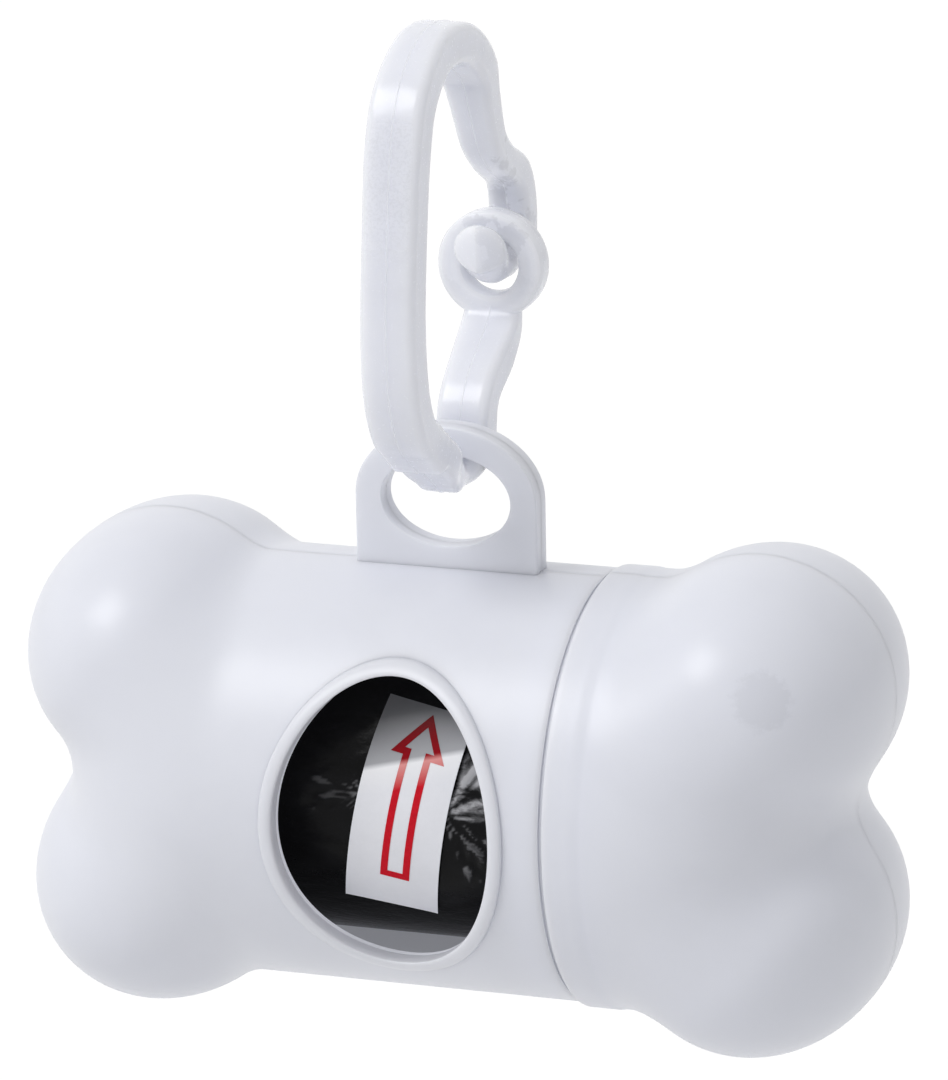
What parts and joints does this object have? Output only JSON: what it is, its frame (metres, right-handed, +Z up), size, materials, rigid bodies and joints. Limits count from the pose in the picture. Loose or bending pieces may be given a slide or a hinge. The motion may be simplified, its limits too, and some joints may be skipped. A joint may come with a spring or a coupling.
{
  "type": "bone-shaped bag dispenser",
  "caption": "Bone-shaped plastic dispenser for a roll of bags, with an oval window, a screw cap, and a snap hook through its lug.",
  "frame": {"origin": "top of the inside of the snap hook, where it hangs from a strap or a belt loop", "axes": "+X along the barrel towards the screw cap, -Y is the window side, +Z up towards the hanging point"},
  "size_m": [0.0816, 0.0407, 0.0934],
  "materials": {
    "shell": "satin",
    "hook": "satin",
    "film": "gloss",
    "core": "matte",
    "label": "satin"
  },
  "bodies": {
    "hook": {"hook_frame": "hook"},
    "gate": {"hook_gate": "hook"},
    "dispenser": {"body_front_shell": "shell", "body_rear_shell": "shell"},
    "cap": {"cap_front_shell": "shell", "cap_rear_shell": "shell"},
    "roll": {"bag_roll": "film", "roll_core": "core", "roll_label": "label"}
  },
  "joints": [
    {"name": "gate_flex", "type": "hinge", "parent": "hook", "child": "gate", "pos_m": [0, 0.0064, -0.0324], "axis": [1, 0, 0], "range_deg": [0, 30], "stiffness_Nm_per_rad": 0.02},
    {"name": "dispenser_swing", "type": "hinge", "parent": "hook", "child": "dispenser", "pos_m": [0, 0.002, -0.038], "axis": [0, 1, 0], "range_deg": [-75, 75]},
    {"name": "cap_unscrew", "type": "slide", "parent": "dispenser", "child": "cap", "axis": [1, 0, 0], "range_m": [0, 0.03]},
    {"name": "roll_turn", "type": "hinge", "parent": "dispenser", "child": "roll", "pos_m": [0, 0.002, -0.0664], "axis": [1, 0, 0], "continuous": true}
  ]
}
